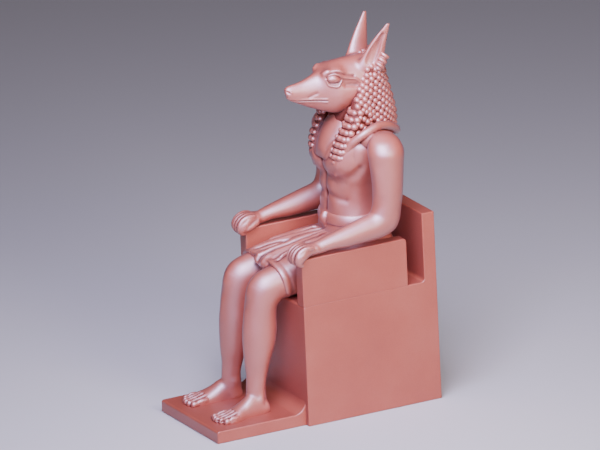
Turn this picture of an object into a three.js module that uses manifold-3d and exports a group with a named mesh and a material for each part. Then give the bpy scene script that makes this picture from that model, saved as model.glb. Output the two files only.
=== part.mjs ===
// A jackal-headed figure seated on a block throne, carved from one block of reddish quartzite.
// Millimetres, +Z up. The origin is the middle of the underside, the figure faces -Y and +X is its left.
import * as THREE from 'three';
import { mergeVertices } from 'three/addons/utils/BufferGeometryUtils.js';
import Module from 'manifold-3d';

const wasm = await Module();
wasm.setup();

// Driving dimensions of the throne
const THRONE_WIDTH = 532;
const THRONE_DEPTH = 604;
const SEAT_HEIGHT = 504;
const BACK_HEIGHT = 792;
const BACK_THICKNESS = 56;
const ARMREST_HEIGHT = 702;
const ARMREST_WIDTH = 54;
const ARMREST_LENGTH = 474;
const SLAB_WIDTH = 485;
const SLAB_LENGTH = 400;
const SLAB_THICKNESS = 51;
const COVE_RADIUS = 52;
const EDGE_RADIUS = 9;
const CORNER_RADIUS = 15;

// Driving dimensions of the figure
const SITTING_HEIGHT = 1052;
const KNEE_SPACING = 198;
const ANKLE_SPACING = 212;

// Sizes and leans of the carving, in the figure's own proportions
const TOE_SPACING = 21.5;
const FINGER_SPACING = 19.5;
const COLLAR_RADIUS = 17;
const PLEAT_DEPTH = 6;
const KNOT_GATHER = 0.7;
const HEM_TOP = -138;
const HEM_LEAN = 14;
const BEAD_RISE = 5;
const WIG_LEAN = 31.6;
const LAPPET_TURN = 8;
const EAR_TURN = 80;
const BROW_RADIUS = 5;
const LID_RADIUS = 4.5;
const LIP_RADIUS = 4;
const TIE_RADIUS = 19;
const TIE_THICKNESS = 10;
const TIE_LEAN = 25;

// Segments of the round edges
const EDGE_STEPS = 3;
const COVE_STEPS = 6;

// The figure's proportions are written for a sitting height of 1052 mm, a seat 453 mm over the slab,
// armrests 198 mm over the seat and 478 mm apart, and knees 198 mm apart
const DRAWN_SITTING_HEIGHT = 1052;
const DRAWN_SEAT = 504;
const DRAWN_SLAB = 51;
const DRAWN_FRONT = -102;
const DRAWN_ARMREST = 702;
const DRAWN_ARM_X = 239;
const DRAWN_KNEE_X = 99;

// Places that follow from the driving dimensions
const HALF_DEPTH = (THRONE_DEPTH + SLAB_LENGTH) / 2;
const THRONE_FRONT = SLAB_LENGTH - HALF_DEPTH;
const TRUNK = SITTING_HEIGHT / DRAWN_SITTING_HEIGHT;
const SHIN = (SEAT_HEIGHT - SLAB_THICKNESS) / (DRAWN_SEAT - DRAWN_SLAB);

// The same places in the figure's own proportions
const HAND_X = (THRONE_WIDTH - ARMREST_WIDTH) / 2 / TRUNK;
const HAND_REST = DRAWN_SEAT + (ARMREST_HEIGHT - SEAT_HEIGHT) / TRUNK;
const KNEE_X = KNEE_SPACING / 2 / TRUNK;
const ANKLE_X = ANKLE_SPACING / 2 / TRUNK;

// Solids are joined and cut as closed meshes

function solid(geometry) {
  geometry.deleteAttribute('normal');
  geometry.deleteAttribute('uv');
  const merged = mergeVertices(geometry, 1e-4);
  const vertProperties = new Float32Array(merged.attributes.position.array);
  const triVerts = new Uint32Array(merged.index.array);
  return new wasm.Manifold(new wasm.Mesh({ numProp: 3, vertProperties, triVerts }));
}

function geometryOf(body) {
  const mesh = body.getMesh();
  const geometry = new THREE.BufferGeometry();
  geometry.setAttribute('position', new THREE.BufferAttribute(mesh.vertProperties, 3));
  geometry.setIndex(new THREE.BufferAttribute(mesh.triVerts, 1));
  geometry.computeVertexNormals();
  return geometry;
}

// Lays an outline's plane in (y, z) and its depth along x
const ACROSS = new THREE.Matrix4().makeBasis(
  new THREE.Vector3(0, 1, 0),
  new THREE.Vector3(0, 0, 1),
  new THREE.Vector3(1, 0, 0),
);

// An outline drawn in (y, z) and drawn out along x
function slabOf(outline, x0, x1, steps) {
  const options = { depth: x1 - x0, bevelEnabled: false, curveSegments: steps };
  const drawn = new THREE.ExtrudeGeometry(outline, options);
  drawn.applyMatrix4(ACROSS);
  drawn.translate(x0, 0, 0);
  return solid(drawn);
}

// A figure point is drawn at the statue's designed size and then set on the throne: what is above the seat
// keeps its place over the seat's front edge, and what is below it stretches between slab and seat.
function placed(x, y, z) {
  const forward = THRONE_FRONT + (y - DRAWN_FRONT) * TRUNK;
  if (z >= DRAWN_SEAT) {
    return new THREE.Vector3(x * TRUNK, forward, SEAT_HEIGHT + (z - DRAWN_SEAT) * TRUNK);
  }
  return new THREE.Vector3(x * TRUNK, forward, SLAB_THICKNESS + (z - DRAWN_SLAB) * SHIN);
}

// A cross section: its centre, its half width along x, its half depth, how far its plane is tipped about x
// and turned about z, and how square it is (2 is an ellipse)
function section(x, y, z, wide, deep, tip = 0, turn = 0, square = 2) {
  return { centre: new THREE.Vector3(x, y, z), size: new THREE.Vector3(wide, deep, square),
    pose: new THREE.Vector3(tip, turn, 0) };
}

// A carved stroke: stone pushed out (or cut in, if negative) near a line between two points
function stroke(from, to, reach, height) {
  return { line: new THREE.Line3(new THREE.Vector3(...from), new THREE.Vector3(...to)), reach, height };
}

function roundPower(value, square) {
  return Math.sign(value) * Math.abs(value) ** (2 / square);
}

// Turns the diagonals of the quads so that each raised bead of a chequered skin is a four-sided point
function turnDiagonals(ball, sides, rows) {
  const index = ball.index;
  for (let row = 1; row < rows - 1; row += 1) {
    for (let column = 0; column < sides; column += 1) {
      if ((row + column) % 2 === 0) {
        const start = (sides + (row - 1) * 2 * sides + 2 * column) * 3;
        const [a, b, , , c, d] = Array.from(index.array.slice(start, start + 6));
        [a, b, c, a, c, d].forEach((corner, k) => index.setX(start + k, corner));
      }
    }
  }
}

// A closed skin through a row of cross sections, with its strokes: a sphere whose rows take their sections.
// Relief raises single points, and bend moves a column round its section.
function skin(sections, sides, rows, strokes = [], relief = null, bend = null) {
  const centres = new THREE.CatmullRomCurve3(sections.map((s) => s.centre), false, 'catmullrom');
  const sizes = new THREE.CatmullRomCurve3(sections.map((s) => s.size), false, 'catmullrom');
  const poses = new THREE.CatmullRomCurve3(sections.map((s) => s.pose), false, 'catmullrom');
  const ball = new THREE.SphereGeometry(1, sides, rows);
  const points = ball.attributes.position;
  const nearest = new THREE.Vector3();
  for (let i = 0; i < points.count; i += 1) {
    const row = Math.floor(i / (sides + 1));
    const column = (i % (sides + 1)) % sides;
    const isPole = row === 0 || row === rows;
    const t = THREE.MathUtils.clamp((row - 1) / (rows - 2), 0, 1);
    const centre = centres.getPoint(t);
    const size = sizes.getPoint(t);
    const pose = poses.getPoint(t);
    const turn = (column / sides) * 2 * Math.PI;
    const angle = bend ? bend(turn, t) : turn;
    const point = new THREE.Vector3(0, 0, 0);
    if (!isPole) {
      point.x = size.x * roundPower(Math.cos(angle), size.z);
      point.y = size.y * roundPower(Math.sin(angle), size.z);
      if (relief) {
        point.multiplyScalar(1 + relief(row, column, t) / Math.max(point.length(), 1));
      }
    }
    point.applyAxisAngle(new THREE.Vector3(1, 0, 0), THREE.MathUtils.degToRad(pose.x));
    point.applyAxisAngle(new THREE.Vector3(0, 0, 1), THREE.MathUtils.degToRad(pose.y));
    const away = point.clone().normalize();
    point.add(centre);
    strokes.forEach(({ line, reach, height }) => {
      line.closestPointToPoint(point, true, nearest);
      const closeness = Math.exp(-nearest.distanceToSquared(point) / (reach * reach));
      point.addScaledVector(away, height * closeness);
    });
    points.setXYZ(i, point.x, point.y, point.z);
  }
  if (relief) {
    turnDiagonals(ball, sides, rows);
  }
  return ball;
}

// Sections run so that the skin's faces point outwards; a row run the other way is turned back here
function carved(geometry, mirror = 1) {
  const points = geometry.attributes.position;
  for (let i = 0; i < points.count; i += 1) {
    const at = placed(points.getX(i), points.getY(i), points.getZ(i));
    points.setXYZ(i, at.x * mirror, at.y, at.z);
  }
  const body = solid(geometry);
  if (body.volume() >= 0) {
    return body;
  }
  const index = geometry.index;
  for (let i = 0; i < index.count; i += 3) {
    const first = index.getX(i);
    index.setX(i, index.getX(i + 1));
    index.setX(i + 1, first);
  }
  return solid(geometry);
}

// The tip of a section that faces along y
const ALONG = 90;

// Throne: a block with a foot slab, a low back slab and two armrests

function throne() {
  const half = THRONE_WIDTH / 2;
  const back = HALF_DEPTH;
  const front = THRONE_FRONT;
  const side = new THREE.Shape();
  side.moveTo(front, 0);
  side.lineTo(back, 0);
  side.lineTo(back, BACK_HEIGHT);
  side.lineTo(back - BACK_THICKNESS, BACK_HEIGHT);
  side.lineTo(back - BACK_THICKNESS, SEAT_HEIGHT + CORNER_RADIUS);
  side.absarc(back - BACK_THICKNESS - CORNER_RADIUS, SEAT_HEIGHT + CORNER_RADIUS, CORNER_RADIUS,
    0, -Math.PI / 2, true);
  side.lineTo(front + EDGE_RADIUS, SEAT_HEIGHT);
  side.absarc(front + EDGE_RADIUS, SEAT_HEIGHT - EDGE_RADIUS, EDGE_RADIUS, Math.PI / 2, Math.PI, false);
  const seat = slabOf(side, -half, half, EDGE_STEPS);

  const rest = new THREE.Shape();
  const restBack = front + ARMREST_LENGTH;
  rest.moveTo(front, SEAT_HEIGHT - 2 * CORNER_RADIUS);
  rest.lineTo(restBack, SEAT_HEIGHT - 2 * CORNER_RADIUS);
  rest.lineTo(restBack, ARMREST_HEIGHT - CORNER_RADIUS);
  rest.absarc(restBack - CORNER_RADIUS, ARMREST_HEIGHT - CORNER_RADIUS, CORNER_RADIUS,
    0, Math.PI / 2, false);
  rest.lineTo(front, ARMREST_HEIGHT);
  const rightRest = slabOf(rest, -half, -half + ARMREST_WIDTH, EDGE_STEPS);
  const leftRest = slabOf(rest, half - ARMREST_WIDTH, half, EDGE_STEPS);

  const foot = new THREE.Shape();
  const coveTop = SLAB_THICKNESS + COVE_RADIUS;
  foot.moveTo(-HALF_DEPTH, 0);
  foot.lineTo(front + EDGE_RADIUS, 0);
  foot.lineTo(front + EDGE_RADIUS, coveTop);
  foot.lineTo(front, coveTop);
  foot.absarc(front - COVE_RADIUS, coveTop, COVE_RADIUS, 0, -Math.PI / 2, true);
  foot.lineTo(-HALF_DEPTH + EDGE_RADIUS, SLAB_THICKNESS);
  foot.absarc(-HALF_DEPTH + EDGE_RADIUS, SLAB_THICKNESS - EDGE_RADIUS, EDGE_RADIUS,
    Math.PI / 2, Math.PI, false);
  const slab = slabOf(foot, -SLAB_WIDTH / 2, SLAB_WIDTH / 2, COVE_STEPS);
  return [seat, leftRest, rightRest, slab];
}

// Legs: bare shins and knees, and thighs that run back over the seat into the hips

function leg(mirror) {
  const ankle = ANKLE_X;
  const knee = KNEE_X;
  const rows = [
    section(ankle + 5, -248, 60, 34, 42),
    section(ankle + 1, -253, 104, 35, 43),
    section(ankle, -251, 155, 36, 39),
    section(ankle - 2, -244, 204, 40, 43),
    section(ankle - 4, -237, 262, 50, 54),
    section(knee + 1, -226, 325, 57, 67),
    section(knee, -219, 388, 60, 72),
    section(knee, -215, 446, 58, 69),
    section(knee, -206, 500, 61, 68, -14),
    section(knee, -184, 548, 67, 77, -42),
    section(knee - 1, -143, 568, 70, 73, -68),
    section(knee - 3, -60, 580, 74, 74, -84),
  ];
  const strokes = [
    stroke([knee - 4, -268, 548], [knee - 4, -262, 572], 26, 6),
    stroke([knee - 30, -262, 520], [knee - 34, -240, 560], 14, -4),
    stroke([knee + 30, -262, 520], [knee + 34, -240, 560], 14, -4),
    stroke([ankle - 38, -250, 118], [ankle - 36, -252, 124], 18, 8),
    stroke([ankle + 38, -244, 112], [ankle + 36, -246, 118], 18, 8),
  ];
  return carved(skin(rows, 12, 13, strokes), mirror);
}

function foot(mirror) {
  const heel = ANKLE_X + 11;
  const ball = heel + 16;
  const top = DRAWN_SLAB;
  const rows = [
    section(heel, -210, top + 12, 20, 14, ALONG, 0, 2.2),
    section(heel, -222, top + 22, 33, 36, ALONG, 0, 2.2),
    section(heel, -250, top + 24, 38, 48, ALONG, 0, 2.2),
    section(heel + 3, -290, top + 22, 38, 58, ALONG, 0, 2.2),
    section(heel + 7, -330, top + 12, 42, 44, ALONG, 0, 2.2),
    section(ball - 1, -368, top + 8, 50, 31, ALONG, 0, 2.2),
    section(ball, -400, top + 6, 56, 22, ALONG, 0, 2.2),
    section(ball, -415, top + 4, 50, 14, ALONG, 0, 2.2),
  ];
  const parts = [carved(skin(rows, 10, 8), mirror)];
  const toes = [[-447, 14], [-455, 11.5], [-456, 11], [-449, 10.5], [-436, 10.5]];
  toes.forEach(([reach, wide], i) => {
    const x = ball + (i - 2) * TOE_SPACING + (i === 0 ? -1 : 1);
    const toe = [
      section(x, -375, top + 16, wide * 0.8, 9, ALONG),
      section(x, -405, top + 15, wide, 12, ALONG),
      section(x, reach + 22, top + 9, wide, 11, ALONG),
      section(x, reach + 5, top + 6, wide, 11, ALONG),
      section(x, reach, top + 4, wide * 0.6, 6, ALONG),
    ];
    parts.push(carved(skin(toe, 5, 5), mirror));
  });
  return parts;
}

// Trunk: hips, waist, chest and neck, with the chest and belly modelled by strokes

function trunk() {
  const rows = [
    section(0, 273, 676, 150, 127, 0, 0, 2.4),
    section(0, 273, 720, 146, 129, 0, 0, 2.4),
    section(0, 275, 770, 135, 123, 0, 0, 2.3),
    section(0, 277, 833, 127, 119, 0, 0, 2.3),
    section(0, 275, 900, 133, 119, 0, 0, 2.3),
    section(0, 275, 950, 150, 125, 0, 0, 2.5),
    section(0, 278, 1000, 168, 133, 0, 0, 2.7),
    section(0, 284, 1045, 178, 139, 0, 0, 2.6),
    section(0, 296, 1085, 182, 140, 0, 0, 2.3),
    section(0, 312, 1118, 168, 130),
    section(0, 326, 1150, 132, 112),
    section(0, 336, 1185, 92, 92),
    section(0, 338, 1240, 80, 84),
  ];
  const sides = [-1, 1];
  const chest = sides.flatMap((s) => [
    stroke([s * 62, 150, 1000], [s * 100, 165, 1010], 42, 9),
    stroke([s * 96, 150, 974], [s * 96, 150, 974], 12, 8),
    stroke([s * 20, 150, 962], [s * 120, 175, 966], 14, -7),
    stroke([s * 45, 155, 925], [s * 45, 155, 905], 26, 5),
    stroke([s * 45, 155, 868], [s * 45, 155, 850], 26, 5),
    stroke([s * 20, 155, 888], [s * 80, 165, 888], 12, -4),
  ]);
  const middle = [
    stroke([0, 145, 1010], [0, 150, 800], 12, -6),
    stroke([0, 150, 856], [0, 150, 852], 10, -6),
  ];
  return carved(skin(rows, 20, 14, [...chest, ...middle]));
}

function breastPlate() {
  const rows = [
    section(0, 178, 1012, 20, 30),
    section(0, 178, 1024, 40, 38),
    section(0, 182, 1055, 60, 46),
    section(0, 198, 1100, 72, 48),
    section(0, 222, 1145, 76, 44),
    section(0, 255, 1185, 66, 44),
  ];
  return carved(skin(rows, 12, 7));
}

// The rounded rim of the collar, from one shoulder round the back to the other
function collarRim() {
  const half = [
    [140, 200, 1096],
    [170, 242, 1134],
    [172, 288, 1154],
    [162, 330, 1158],
    [146, 378, 1146],
    [120, 418, 1122],
    [84, 444, 1098],
    [42, 456, 1086],
  ];
  const far = half.map(([x, y, z]) => [-x, y, z]);
  const round = [...far, [0, 460, 1083], ...half.slice().reverse()];
  const path = new THREE.CatmullRomCurve3(round.map(([x, y, z]) => new THREE.Vector3(x, y, z)));
  const ring = new THREE.Shape();
  ring.absarc(0, 0, COLLAR_RADIUS, 0, 2 * Math.PI, false);
  return carved(new THREE.ExtrudeGeometry(ring, { extrudePath: path, steps: 16, curveSegments: 3 }));
}

// Arms: from the shoulder cap, which stays with the trunk, down to the elbow and forward along the armrest

function arm(mirror) {
  const shoulder = DRAWN_ARM_X;
  const middle = (DRAWN_ARM_X + HAND_X) / 2;
  const x = HAND_X;
  const top = HAND_REST;
  const rows = [
    section(shoulder - 36, 319, 1143, 18, 22),
    section(shoulder - 29, 318, 1134, 38, 43),
    section(shoulder - 14, 314, 1112, 58, 64),
    section(shoulder - 2, 312, 1076, 68, 75),
    section(shoulder, 312, 1029, 66, 71),
    section(shoulder, 313, 970, 62, 66),
    section(middle, 312, 909, 59, 62),
    section(x, 304, top + 143, 56, 60, -6),
    section(x, 288, top + 93, 54, 65, -40),
    section(x, 245, top + 71, 51, 56, -74),
    section(x, 190, top + 62, 48, 50, -82),
    section(x, 103, top + 49, 43, 41, -82),
    section(x, 30, top + 41, 35, 30, -82),
    section(x, -22, top + 30, 30, 26, -84),
    section(x, -50, top + 28, 33, 24, -86),
  ];
  const strokes = [
    stroke([shoulder + 10, 250, 985], [shoulder + 40, 255, 960], 24, -4),
    stroke([middle, 255, 900], [middle, 255, 880], 30, 4),
  ];
  return carved(skin(rows, 12, 15, strokes), mirror);
}

function hand(mirror) {
  const x = HAND_X;
  const top = HAND_REST;
  const palm = [
    section(x, -25, top + 29, 30, 24, -86),
    section(x + 1, -58, top + 32, 37, 25, -88, 0, 2.3),
    section(x + 2, -88, top + 26, 42, 32, -92, 0, 2.4),
    section(x + 2, -110, top + 12, 43, 32, -96, 0, 2.4),
    section(x + 2, -127, top + 8, 40, 28, -96, 0, 2.4),
  ];
  const parts = [carved(skin(palm, 8, 7), mirror)];
  const fingerBack = [0, 0, 0, 6];
  fingerBack.forEach((back, i) => {
    const along = x + 3 + (i - 1.5) * FINGER_SPACING;
    const finger = [
      section(along, -78 + back, top + 44, 10, 9, -80),
      section(along, -104 + back, top + 40, 11.5, 12, -62),
      section(along, -122 + back, top + 26, 11.5, 13, -22),
      section(along, -127 + back, top + 6, 11.5, 12, 12),
      section(along, -118 + back, top - 13, 11, 12, 50),
      section(along, -104 + back, top - 18, 9, 9, 80),
    ];
    parts.push(carved(skin(finger, 5, 6), mirror));
  });
  const thumb = [
    section(x - 28, -42, top + 22, 12, 14, -88),
    section(x - 33, -70, top + 12, 14, 16, -80),
    section(x - 34, -96, top + 2, 12, 14, -72),
    section(x - 32, -110, top - 4, 8, 9, -70),
  ];
  parts.push(carved(skin(thumb, 5, 4), mirror));
  return parts;
}

// Kilt: cloth over both thighs, drawn from the belt knot in long folds to a thick hem over the knees

// The columns on the cloth's top draw together towards the belt knot, so that the folds fan out from it
function gatheredToKnot(turn, t) {
  const topEnds = 0.8;
  const sideStarts = 1.4;
  const knotAt = 0.4;
  const fromTop = turn - Math.PI / 2;
  const onTop = 1 - THREE.MathUtils.smoothstep(Math.abs(fromTop), topEnds, sideStarts);
  const towardKnot = 1 - THREE.MathUtils.smoothstep(t, knotAt, 1);
  return turn - KNOT_GATHER * fromTop * onTop * towardKnot;
}

// What lies in front of the hem, and the cloth that would hang below it in front of the seat
function hemCutter() {
  const ahead = HEM_TOP - 200;
  const thighTop = 650;
  const thighUnder = 540;
  const lean = (thighTop - thighUnder) * Math.tan(THREE.MathUtils.degToRad(HEM_LEAN));
  const underHem = DRAWN_FRONT - 1;
  const cut = new THREE.Shape();
  cut.moveTo(ahead, thighTop + 130);
  cut.lineTo(HEM_TOP, thighTop + 130);
  cut.lineTo(HEM_TOP, thighTop);
  cut.lineTo(HEM_TOP + lean, thighUnder);
  cut.lineTo(underHem, thighUnder - 12);
  cut.lineTo(underHem, thighUnder - 140);
  cut.lineTo(ahead, thighUnder - 140);
  cut.closePath();
  const across = new THREE.ExtrudeGeometry(cut, { depth: 2 * THRONE_WIDTH, bevelEnabled: false });
  across.applyMatrix4(ACROSS);
  across.translate(-THRONE_WIDTH, 0, 0);
  return carved(across);
}

function kilt() {
  const spread = KNEE_X - DRAWN_KNEE_X;
  const rows = [
    section(0, 400, 594, 122, 76, ALONG, 0, 2.8),
    section(0, 388, 600, 146, 90, ALONG, 0, 3),
    section(0, 350, 604, 164, 98, ALONG, 0, 3),
    section(0, 220, 608, 172, 101, ALONG, 0, 3.2),
    section(0, 120, 606, 174 + spread, 100, ALONG, 0, 3.2),
    section(0, 30, 600, 175 + spread, 97, ALONG, 0, 3.1),
    section(0, -60, 590, 175 + spread, 90, ALONG, 0, 3),
    section(0, -128, 579, 174 + spread, 86, ALONG, 0, 2.8),
    section(0, -150, 576, 172 + spread, 84, ALONG, 0, 2.7),
  ];
  const sag = stroke([0, -30, 662], [0, -150, 640], 36, -14);
  const slit = stroke([0, -150, 540], [0, -150, 480], 34, -16);
  const bundle = stroke([-20, -90, 664], [12, 60, 694], 24, 9);
  const sides = 32;
  const firstPleat = 7;
  const lastPleat = 16;
  const shallowest = 0.4;
  const pleats = (row, column, t) => {
    const isPleated = column >= firstPleat && column <= lastPleat;
    const side = column % 2 === 0 ? 1 : -1;
    return isPleated ? side * PLEAT_DEPTH * THREE.MathUtils.lerp(shallowest, 1, t) : 0;
  };
  const cloth = skin(rows, sides, 9, [sag, slit, bundle], pleats, gatheredToKnot);
  return carved(cloth).subtract(hemCutter());
}

function belt() {
  const rows = [
    section(0, 273, 744, 140, 127, 0, 0, 2.3),
    section(0, 273, 750, 144, 130, 0, 0, 2.3),
    section(0, 274, 782, 138, 126, 0, 0, 2.3),
    section(0, 274, 788, 134, 122, 0, 0, 2.3),
  ];
  const knot = [
    section(0, 150, 738, 12, 8),
    section(0, 146, 748, 18, 14),
    section(0, 144, 772, 20, 15),
    section(0, 148, 790, 13, 9),
  ];
  return [carved(skin(rows, 20, 4)), carved(skin(knot, 6, 4))];
}

// Head: a long narrow muzzle, high brows and a full cheek, drawn from the nose back into the wig

function head() {
  const rows = [
    section(0, -6, 1321, 8, 8, ALONG),
    section(0, 0, 1316, 16, 20, ALONG),
    section(0, 16, 1310, 22, 32, ALONG),
    section(0, 69, 1300, 32, 50, ALONG),
    section(0, 122, 1297, 46, 72, ALONG),
    section(0, 162, 1298, 60, 89, ALONG, 0, 2.4),
    section(0, 202, 1301, 73, 105, ALONG, 0, 2.3),
    section(0, 245, 1302, 80, 111, ALONG),
    section(0, 300, 1312, 84, 103, ALONG),
    section(0, 350, 1325, 80, 90, ALONG),
    section(0, 395, 1330, 62, 70, ALONG),
  ];
  const strokes = [-1, 1].flatMap((s) => [
    stroke([s * 46, 168, 1372], [s * 62, 205, 1378], 26, 20),
    stroke([s * 72, 215, 1270], [s * 78, 250, 1265], 40, 6),
  ]);
  return carved(skin(rows, 16, 14, strokes));
}

function rib(points, radius, mirror) {
  const rows = points.map(([x, y, z], i) => {
    const isEnd = i === 0 || i === points.length - 1;
    const thick = isEnd ? radius * 0.5 : radius;
    return section(x, y, z, thick, thick, ALONG);
  });
  return carved(skin(rows, 4, points.length + 1), mirror);
}

function faceRelief(mirror) {
  const eye = [
    section(60, 160, 1355, 6, 5, ALONG),
    section(60, 172, 1355, 12, 12, ALONG),
    section(62, 190, 1355, 14, 16, ALONG),
    section(66, 212, 1352, 12, 12, ALONG),
    section(69, 226, 1347, 6, 5, ALONG),
  ];
  const brow = [
    [46, 143, 1362],
    [51, 156, 1386],
    [58, 178, 1394],
    [68, 217, 1381],
    [75, 254, 1370],
    [82, 292, 1342],
  ];
  const lid = [
    [52, 150, 1352],
    [62, 168, 1338],
    [71, 190, 1330],
    [76, 214, 1332],
    [78, 238, 1342],
    [82, 268, 1338],
    [85, 292, 1322],
  ];
  const lip = [
    [12, 10, 1284],
    [21, 22, 1281],
    [27, 48, 1273],
    [36, 88, 1265],
    [48, 128, 1261],
    [58, 160, 1261],
  ];
  return [
    carved(skin(eye, 8, 6), mirror),
    rib(brow, BROW_RADIUS, mirror),
    rib(lid, LID_RADIUS, mirror),
    rib(lip, LIP_RADIUS, mirror),
  ];
}

// Ears: tall leaves that lean back and out, hollowed on the outer side
function ear(mirror) {
  const turn = EAR_TURN;
  const leaf = [
    section(52, 352, 1372, 56, 28, 0, turn),
    section(60, 358, 1408, 50, 24, 0, turn),
    section(70, 371, 1442, 42, 19, 0, turn),
    section(75, 380, 1466, 35, 16, 0, turn),
    section(81, 390, 1490, 28, 13, 0, turn),
    section(87, 399, 1512, 21, 10, 0, turn),
    section(93, 409, 1532, 14, 7, 0, turn),
    section(99, 419, 1550, 6, 4, 0, turn),
    section(101, 422, 1556, 2, 2, 0, turn),
  ];
  const hollow = [
    section(90, 350, 1392, 20, 10, 0, turn),
    section(92, 356, 1412, 32, 18, 0, turn),
    section(97, 370, 1445, 30, 17, 0, turn),
    section(103, 388, 1485, 20, 14, 0, turn),
    section(107, 402, 1515, 11, 9, 0, turn),
    section(108, 410, 1530, 4, 4, 0, turn),
  ];
  return carved(skin(leaf, 10, 9), mirror).subtract(carved(skin(hollow, 7, 6), mirror));
}

// Wig: rows of bead-like curls in a bell behind the face, with a lappet down each side of the chest

function beads(row, column) {
  return (row + column) % 2 === 0 ? BEAD_RISE : -BEAD_RISE / 2;
}

function wig() {
  const rows = [
    section(0, 330, 1104, 120, 130),
    section(0, 331, 1116, 130, 142),
    section(0, 333, 1160, 130, 139),
    section(0, 336, 1202, 124, 130),
    section(0, 340, 1236, 114, 119),
    section(0, 342, 1269, 106, 109),
    section(0, 345, 1303, 100, 97),
    section(0, 348, 1337, 96, 87),
    section(0, 352, 1370, 88, 78),
    section(0, 358, 1398, 72, 62),
    section(0, 362, 1412, 46, 38),
  ];
  const bell = carved(skin(rows, 32, 14, [], beads));
  const frontDepth = 400;
  const front = new THREE.BoxGeometry(400, frontDepth, 700);
  front.translate(0, -frontDepth / 2, 0);
  front.rotateX(-THREE.MathUtils.degToRad(WIG_LEAN));
  front.translate(0, 258, 1262);
  return bell.subtract(carved(front));
}

function lappet(mirror) {
  const turn = LAPPET_TURN;
  const rows = [
    section(98, 170, 1006, 26, 14, 0, turn, 2.4),
    section(97, 168, 1014, 37, 23, 0, turn, 2.4),
    section(97, 167, 1045, 46, 28, 0, turn, 2.4),
    section(103, 178, 1085, 52, 30, 0, turn, 2.4),
    section(109, 202, 1125, 56, 32, 0, turn, 2.4),
    section(112, 232, 1165, 56, 36, 0, turn, 2.4),
    section(106, 272, 1205, 50, 46, 0, turn, 2.4),
  ];
  return carved(skin(rows, 10, 11, [], beads), mirror);
}

// Three small rolls, one over the other, where the wig is gathered behind each ear
function tie(mirror) {
  return [0, 1, 2].map((i) => {
    const roll = new THREE.CylinderGeometry(TIE_RADIUS, TIE_RADIUS, TIE_THICKNESS, 8, 1);
    roll.rotateX(THREE.MathUtils.degToRad(ALONG - TIE_LEAN));
    roll.translate(72, 408 - i * 7, 1412 - i * 14);
    return carved(roll, mirror);
  });
}

// The statue: everything above is one carved stone
const pieces = [
  ...throne(),
  trunk(),
  breastPlate(),
  collarRim(),
  kilt(),
  ...belt(),
  head(),
  wig(),
];
[1, -1].forEach((mirror) => {
  pieces.push(leg(mirror), ...foot(mirror), arm(mirror), ...hand(mirror));
  pieces.push(...faceRelief(mirror), ear(mirror), lappet(mirror), ...tie(mirror));
});
const statue = pieces.reduce((whole, piece) => whole.add(piece));

const stone = new THREE.MeshStandardMaterial({ color: 0xb9776b, roughness: 0.55, metalness: 0 });
const carving = new THREE.Mesh(geometryOf(statue), stone);
carving.name = 'seated_jackal_statue';

const part = new THREE.Group();
part.add(carving);
export default part;
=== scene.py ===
import math

import bmesh
import bpy
import numpy as np
from mathutils import Matrix, Vector
from mathutils.bvhtree import BVHTree


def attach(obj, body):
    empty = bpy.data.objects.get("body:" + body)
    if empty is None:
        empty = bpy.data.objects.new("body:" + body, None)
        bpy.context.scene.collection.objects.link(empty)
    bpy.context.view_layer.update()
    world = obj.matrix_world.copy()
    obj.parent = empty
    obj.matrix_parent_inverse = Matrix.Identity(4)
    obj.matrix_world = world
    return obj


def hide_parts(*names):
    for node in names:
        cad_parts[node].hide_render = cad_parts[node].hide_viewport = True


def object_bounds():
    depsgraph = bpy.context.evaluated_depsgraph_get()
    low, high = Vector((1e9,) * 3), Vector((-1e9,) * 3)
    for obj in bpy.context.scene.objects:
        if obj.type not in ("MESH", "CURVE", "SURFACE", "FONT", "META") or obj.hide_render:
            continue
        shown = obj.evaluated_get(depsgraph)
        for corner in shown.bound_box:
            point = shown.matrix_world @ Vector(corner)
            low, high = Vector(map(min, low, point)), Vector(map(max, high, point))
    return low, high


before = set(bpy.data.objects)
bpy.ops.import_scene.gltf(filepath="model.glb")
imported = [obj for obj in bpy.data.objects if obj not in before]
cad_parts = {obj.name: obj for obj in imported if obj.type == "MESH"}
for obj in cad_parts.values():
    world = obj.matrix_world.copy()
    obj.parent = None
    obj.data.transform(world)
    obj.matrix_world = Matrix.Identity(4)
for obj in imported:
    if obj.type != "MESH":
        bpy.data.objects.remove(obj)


# Throne
# A plain block with a low back slab, two armrests set on it and a foot slab that runs out in front.
# It is one stone with the figure, rubbed flat, with every outer edge slightly rounded.

# every size is in millimetres of the statue as it is drawn, and MM turns it into the scene's metres
STATUE_HEIGHT = 1556
cad_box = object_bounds()
MM = (cad_box[1][2] - cad_box[0][2]) / STATUE_HEIGHT
THRONE_WIDTH = 532
THRONE_FRONT = -102
THRONE_BACK = 502
SEAT_HEIGHT = 504
BACK_HEIGHT = 792
BACK_THICKNESS = 56
BACK_FILLET = 15
ARMREST_HEIGHT = 702
ARMREST_WIDTH = 54
ARMREST_LENGTH = 474
ARMREST_CORNER = 15
SLAB_WIDTH = 485
SLAB_FRONT = -502
SLAB_THICKNESS = 51
SLAB_EDGE = 10
SLAB_ROUND = 8
SEAT_EDGE = 10
COVE_RADIUS = 52
EDGE_ROUND = 4
# how far the foot slab runs into the block, and how deep a piece is sunk in what carries it
OVERLAP = 20
SINK = 2
SHARP_CORNER = math.radians(50)
ARC_POINTS = 20


def arc(y, z, radius, start, end):
    """Points of a round corner in the (y, z) plane, from one angle to the other in degrees."""
    angles = np.radians(np.linspace(start, end, ARC_POINTS))
    return [(y + radius * math.cos(a), z + radius * math.sin(a)) for a in angles]


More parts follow.
